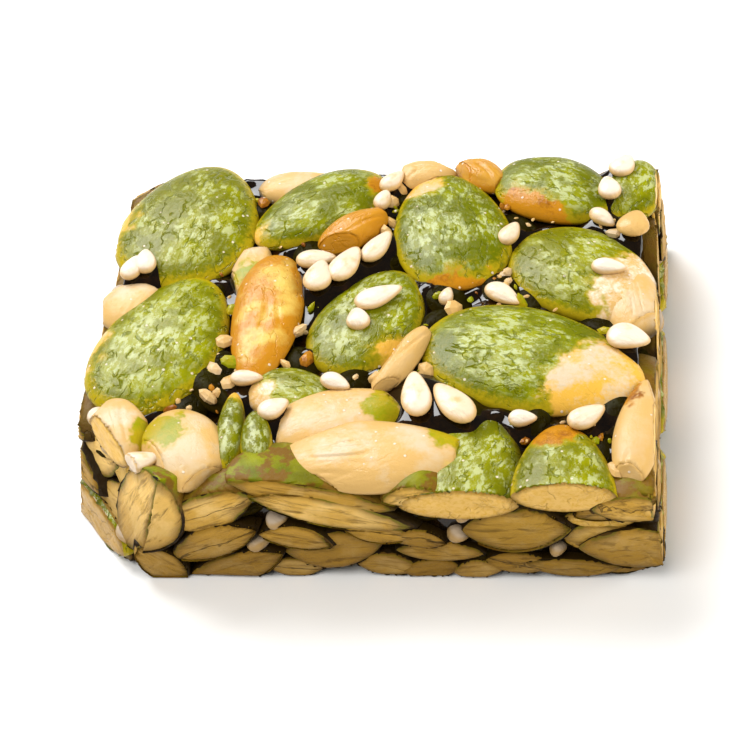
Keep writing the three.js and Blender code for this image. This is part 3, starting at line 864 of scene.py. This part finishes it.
class BRITTLE_OT_cut_kernels(bpy.types.Operator):
    """Kernels that the knife went through at the four sides and the broken corner"""

    bl_idname = "brittle.cut_kernels"
    bl_label = "Cut Kernels"

    def execute(self, context):
        forms = []
        for number, cut in enumerate(cut_layout()):
            side, along, height, long, high, slope, breadth, twist, depth = cut
            seed = 2000 + 13 * number
            length, thick = 2 * long / CUT_SCALE, 1.12 * (2 * high / CUT_SCALE)
            table, faces, r = kernel_form(length, breadth, thick, seed, 52, 11, 11, CUT_PROFILE)
            crease(table, r, seed, 0.06)
            draw = drawer(seed)
            set_tone(table, draw(-0.3, 0.35), max(0.0, draw(-0.5, 0.3)), r)
            table[:, LEVEL] = table[:, 2]
            table[:, SPLIT] = smooth(draw(0, 1), 0.25, 0.6)
            # Painted light: the broken corner's cut faces are painted paler, as the side that takes
            # the most light; they are not split.
            if side is CHIP:
                table[:, LIGHT], table[:, SPLIT] = 0.6, 0.0
            place = side.at(along, height, CUT_SHARE * breadth / 2)
            table[:, 2] += draw(-0.4, 0.4) * (2 * table[:, 0] / length) ** 2
            set_down(table, *place, side.heading + twist, seed, -slope, side.heading)
            table, faces = trimmed(table, faces, seed)
            tilt = draw(-0.03, 0.03), draw(-0.05, 0.05)
            plane = side.plane(0.08 + depth, along, height, tilt)
            forms.append(clip(*clip(table, faces, *plane, seed), *WORN_CORNER))
        add_piece("cut_kernels", forms, cut_finish(context))
        return {"FINISHED"}


class BRITTLE_OT_lower_kernels(bpy.types.Operator):
    """Kernels of the underside, pressed flat on the board"""

    bl_idname = "brittle.lower_kernels"
    bl_label = "Lower Kernels"

    def execute(self, context):
        random = seeded(11)
        forms = []
        for y in (-10.6, 1.4, 13.2):
            for step in range(5):
                x = -17.4 + 8.7 * step + random(-0.7, 0.7)
                place = (x, y + random(-0.9, 0.9), 1.15, 90 + random(-34, 34))
                length, width, thick = random(12.5, 14.5), random(8.2, 9.4), 2.8
                seed = 5000 + 19 * len(forms)
                table, faces, r = kernel_form(length, width, thick, seed, 72, 8, 20)
                crease(table, r, seed, 0.09)
                draw = drawer(seed)
                set_tone(table, draw(-0.2, 0.2), draw(0.0, 0.25), r)
                pressed = table[:, 2] < 0
                set_down(table, *place, seed)
                board = LOWEST + 0.008 * waves(table[:, :2], 2.0, seed)
                deep = place[2] - thick / 2 * (1 - r ** PLUMP[0]) ** PLUMP[1]
                table[pressed, 2] = np.maximum(deep, board)[pressed]
                forms.append(trimmed(table, faces, seed, 0.05))
        skin = skin_finish(context, "pressed_skin", "green", NO_FOOT_SHADE, 0.8)
        add_piece("lower_kernels", forms, skin)
        return {"FINISHED"}


class BRITTLE_OT_buried_kernels(bpy.types.Operator):
    """Kernels deeper down, seen in the gaps of the upper face and between the cut ones, painted
    dark as shade
    """

    bl_idname = "brittle.buried_kernels"
    bl_label = "Buried Kernels"

    def execute(self, context):
        draw = drawer(31)
        places = []
        points = draw((-18.4, -15.6), (18.4, 15.6), (900, 2))
        for x, y in points[clearance(points) > 0.15]:
            if all(math.hypot(x - other[0], y - other[1]) > 2.2 for other in places):
                z = HEIGHT - 2.0 - draw(0, 0.5)
                lean, towards = draw(0, 22), draw(0, 360)
                size = draw(3.2, 6.0)
                places.append((x, y, z, draw(0, 360), size, 0.6 * size, 1.9, lean, towards))
        for side in SIDES:
            for course in range(3):
                along = draw(1.0, 3.0)
                while along < side.length - 1:
                    breadth = draw(4.5, 6.5)
                    z = 1.5 + 2.2 * course + draw(-0.3, 0.3)
                    x, y, z = side.at(along, z, breadth / 2 + draw(0.45, 0.9))
                    turn, lean = side.heading + draw(-12, 12), draw(-20, 20)
                    size = (draw(5, 8), breadth, 2.4)
                    places.append((x, y, z, turn, *size, lean, side.heading))
                    along += draw(3.6, 5.6)
        forms = []
        for number, (*place, length, width, thick, lean, towards) in enumerate(places):
            seed = 6000 + 11 * number
            table, faces, r = kernel_form(length, width, thick, seed, 30, 8, 5, BURIED_PROFILE)
            crease(table, r, seed, 0.06)
            set_tone(table, draw(-0.5, 0.1), draw(0, 0.12), r)
            set_down(table, *place, seed, lean, towards)
            forms.append(clip(*trimmed(table, faces, seed, 0.4), *WORN_CORNER))
        # Painted shade covers nearly all of their skin.
        skin = skin_finish(context, "buried_skin", "green", BURIED_SHADE, 0.06)
        add_piece("buried_kernels", forms, skin)
        return {"FINISHED"}


def sesame_form(x, y, z, turn, length, width, thick, seed, lean=0.0, towards=0.0):
    """A seed: the kernel's form, drawn in to a point at +X and thinner there."""
    table, faces, r = kernel_form(length, width, thick, seed, 26, 9, 7, SESAME_PROFILE)
    along = table[:, 0] / (length / 2)
    table[:, 1] *= 1 - 0.26 * smooth(along, -0.6, 1.1)
    table[:, 2] *= 1 - 0.3 * along
    draw = drawer(seed)
    set_tone(table, draw(-0.2, 0.2), max(0.0, draw(-0.25, 0.35)), r)
    set_down(table, x, y, z, turn, seed, lean, towards)
    return table, faces


class BRITTLE_OT_sesame(bpy.types.Operator):
    """Sesame seeds on top and between the layers"""

    bl_idname = "brittle.sesame"
    bl_label = "Sesame"

    def execute(self, context):
        forms = []
        for number, (x, y, turn, length, width, sunk) in enumerate(UPPER_SESAME):
            seed = 7000 + 7 * number
            z = HEIGHT - sunk - 0.15
            table, faces = sesame_form(x, y, z, turn, length, width, 1.0, seed)
            if (x, y) == GOLDEN_SESAME:
                table[:, HUE] = 1.0
            forms.append(trimmed(table, faces, seed, 0.03))
        random = seeded(53)
        places = []
        for side in (RIGHT, BACK, LEFT):
            along = 3.0
            while along < side.length - 2:
                places.append((side, along, random(2.2, 7.6), random(0.9, 1.5)))
                along += random(4.5, 7.5)
        places += [(FRONT, x - FRONT.start[0], z, long) for x, z, long in FRONT_SESAME]
        places += [(CHIP, *seed) for seed in CHIP_SESAME]
        for number, (side, along, z, long) in enumerate(places):
            seed = 8000 + 7 * number
            lean = 47.0 * number % 60 - 30
            size = (2 * long, 1.7, 1.3)
            place = (*side.at(along, z, 0.95), side.heading)
            form = sesame_form(*place, *size, seed, lean, side.heading)
            forms.append(trimmed(*form, seed, 0.03))
        add_piece("sesame_seeds", forms, sesame_finish(context))
        return {"FINISHED"}


def clearance(points):
    """Millimetres from each point of the upper face to the nearest kernel's outline, negative
    inside it, measured in the kernel's own frame, where its outline is a circle of radius 1."""
    nearest = np.full(len(points), 9.0)
    for _, x, y, turn, length, width, _, _ in UPPER_KERNELS:
        angle = math.radians(turn)
        dx, dy = points[:, 0] - x, points[:, 1] - y
        along = (dx * math.cos(angle) + dy * math.sin(angle)) / (length / 2)
        across = (dy * math.cos(angle) - dx * math.sin(angle)) / (width / 2)
        out = (np.hypot(along, across / (1 - KERNEL_TAPER * along.clip(-1, 1))) - 1) * width / 2
        nearest = np.minimum(nearest, out)
    return nearest


class BRITTLE_OT_syrup(bpy.types.Operator):
    """Set syrup that fills the piece behind its kernels"""

    bl_idname = "brittle.syrup"
    bl_label = "Syrup"

    def execute(self, context):
        # Rings between two poles, over the foot, up the walls and over the top. The top climbs
        # by rise * exp(-(distance / 0.6)^2) against the kernels and in a mound under each seed.
        sides, over, wall, under = 300, 76, 16, 14
        turns = np.arange(sides) / sides * 5
        corner, share = turns.astype(int), (turns % 1)[:, None]

        def loop(corners, z):
            reach = np.linalg.norm(corners[:, :2], axis=1, keepdims=True)
            flat = corners[:, :2] * (reach - 1.4 * CORE_INSET) / reach
            line = flat[corner] * (1 - share) + flat[(corner + 1) % 5] * share
            return np.column_stack([line, np.full(sides, z)])[::-1]

        low, high = loop(FOOT, CORE_FOOT), loop(TOP, CORE_HEIGHT)
        rows = [low * (s, s, 1) for s in np.linspace(0, 1, under)[1:]]
        rows += [low + (high - low) * s for s in np.linspace(0, 1, wall)[1:]]
        rows += [high * (s, s, 1) for s in np.linspace(1, 0, over)[1:-1]]
        points = np.concatenate([[(0, 0, CORE_FOOT)], *rows, [(0, 0, CORE_HEIGHT)]])
        rise = context.scene.brittle_form.syrup_rise / MM
        near = np.exp(-((clearance(points) / 0.6) ** 2))
        upper = smooth(points[:, 2], CORE_HEIGHT - 0.6, CORE_HEIGHT)
        points[:, 2] += upper * (rise * near + 0.25 * waves(points[:, :2], 3.0, 5) - 0.5)
        for x, y, turn, length, width, sunk in UPPER_SESAME:
            own = turned(points - (x, y, 0), -turn)[:, :2] / (length / 2, width / 2)
            mound = upper * (1 - smooth(np.hypot(*own.T), 0.4, 2.4))
            points[:, 2] += mound * np.maximum(HEIGHT - sunk - 0.5 - points[:, 2], 0)
        points[:, :2] *= 1 + 0.006 * waves(points, 2.5, 6)[:, None]
        table = np.zeros((len(points), COLUMNS))
        table[:, PLACE] = points
        form = clip(table, closed_grid(len(rows), sides), *WORN_CORNER)
        add_piece("set_syrup", [form], syrup_finish(context))
        return {"FINISHED"}


class BRITTLE_OT_crumbs(bpy.types.Operator):
    """Crumbs of kernel and sesame in the gaps and on the kernels"""

    bl_idname = "brittle.crumbs"
    bl_label = "Crumbs"

    def execute(self, context):
        draw = drawer(77)
        forms = []
        points = draw((-18.4, -16.0), (18.4, 16.0), (6000, 2))
        gap = clearance(points)
        points = points[(gap > -0.1) & (gap < 1.2)][: context.scene.brittle_form.crumbs]
        for number, (x, y) in enumerate(points):
            size = 0.35 + 1.5 * draw() ** 2
            z = CORE_HEIGHT + draw(0.1, 0.6)
            width, seed = size * draw(0.4, 0.9), 60 + number
            table, faces, _ = kernel_form(size, width, size * 0.5, seed, 7, 2, 2, CRUMB_PROFILE)
            set_tone(table, draw(-0.2, 0.4), draw(0.0, 0.9))
            colour = draw()
            if colour < 0.5:
                table[:, PATCH_COLUMN["skin" if colour < 0.3 else "brown"]] = 3
            lean, towards = draw(0, 60), draw(0, 360)
            set_down(table, x, y, z, draw(0, 180), number, lean, towards)
            forms.append(trimmed(table, faces, number, 0.3))
        forms = [form for form in forms if len(form[1])]
        skin = skin_finish(context, "cream_skin", "cream")
        add_piece("crumbs", forms, skin, rounded=False)
        return {"FINISHED"}


# ---- the stage


def add_light(name, place, aim, size, power, colour, mirrored):
    lamp = bpy.data.lights.new(name, "AREA")
    lamp.shape, lamp.size, lamp.size_y = "RECTANGLE", size[0], size[1]
    lamp.energy, lamp.color = power, colour
    holder = add_object(name, lamp)
    holder.location = place
    holder.visible_glossy = mirrored
    holder.rotation_euler = (Vector(aim) - Vector(place)).to_track_quat("-Z", "Y").to_euler()


class BRITTLE_OT_stage(bpy.types.Operator):
    """Pale floor, soft light and the camera"""

    bl_idname = "brittle.stage"
    bl_label = "Stage"

    def execute(self, context):
        scene = context.scene
        far = FLOOR_REACH
        mesh = bpy.data.meshes.new("floor")
        corners = [(-far, -far, 0), (far, -far, 0), (far, far, 0), (-far, far, 0)]
        mesh.from_pydata(corners, [], [(0, 1, 2, 3)])
        floor = Finish(context, "floor_paint")
        floor.wire(floor.shader, {"Base Color": "floor", "Roughness": 0.7})
        mesh.materials.append(floor.material)
        add_object("floor", mesh)

        world = bpy.data.worlds.new("soft_room")
        world.use_nodes = True
        background = world.node_tree.nodes["Background"].inputs
        background["Color"].default_value = ROOM_COLOUR
        background["Strength"].default_value = ROOM_STRENGTH
        scene.world = world
        for light in LIGHTS:
            add_light(*light)
        scene.view_settings.view_transform = "Standard"

        lens = bpy.data.cameras.new("camera")
        lens.sensor_width = SENSOR
        lens.lens = FOCAL_PIXELS * SENSOR / FRAME_PIXELS
        lens.clip_start, lens.clip_end = 0.01, 10
        camera = add_object("camera", lens)
        camera.matrix_world = Matrix.Translation(Vector(CAMERA_PLACE) * MM)
        for angle, axis in ((CAMERA_YAW, "Z"), (90 - CAMERA_PITCH, "X"), (CAMERA_ROLL, "Z")):
            camera.matrix_world @= Matrix.Rotation(math.radians(angle), 4, axis)
        scene.camera = camera
        return {"FINISHED"}


OPERATORS = (
    BRITTLE_OT_syrup,
    BRITTLE_OT_lower_kernels,
    BRITTLE_OT_buried_kernels,
    BRITTLE_OT_cut_kernels,
    BRITTLE_OT_upper_kernels,
    BRITTLE_OT_sesame,
    BRITTLE_OT_crumbs,
    BRITTLE_OT_stage,
)


class BRITTLE_PT_panel(bpy.types.Panel):
    """The brittle's values and the steps that build it"""

    bl_idname = "BRITTLE_PT_panel"
    bl_label = "Seed Brittle"
    bl_space_type = "VIEW_3D"
    bl_region_type = "UI"
    bl_category = "Brittle"

    def draw(self, context):
        for group in (context.scene.brittle_form, context.scene.brittle_colours):
            box = self.layout.box()
            for name in group.__annotations__:
                box.prop(group, name)
        for operator in OPERATORS:
            self.layout.operator(operator.bl_idname)


CLASSES = (BrittleForm, BrittleColours, *OPERATORS, BRITTLE_PT_panel)


def register():
    for item in CLASSES:
        bpy.utils.register_class(item)
    bpy.types.Scene.brittle_form = PointerProperty(type=BrittleForm)
    bpy.types.Scene.brittle_colours = PointerProperty(type=BrittleColours)


def unregister():
    del bpy.types.Scene.brittle_colours
    del bpy.types.Scene.brittle_form
    for item in reversed(CLASSES):
        bpy.utils.unregister_class(item)


def main():
    register()
    for operator in OPERATORS:
        getattr(bpy.ops.brittle, operator.bl_idname.removeprefix("brittle."))()
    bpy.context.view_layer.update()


if __name__ == "__main__":
    main()
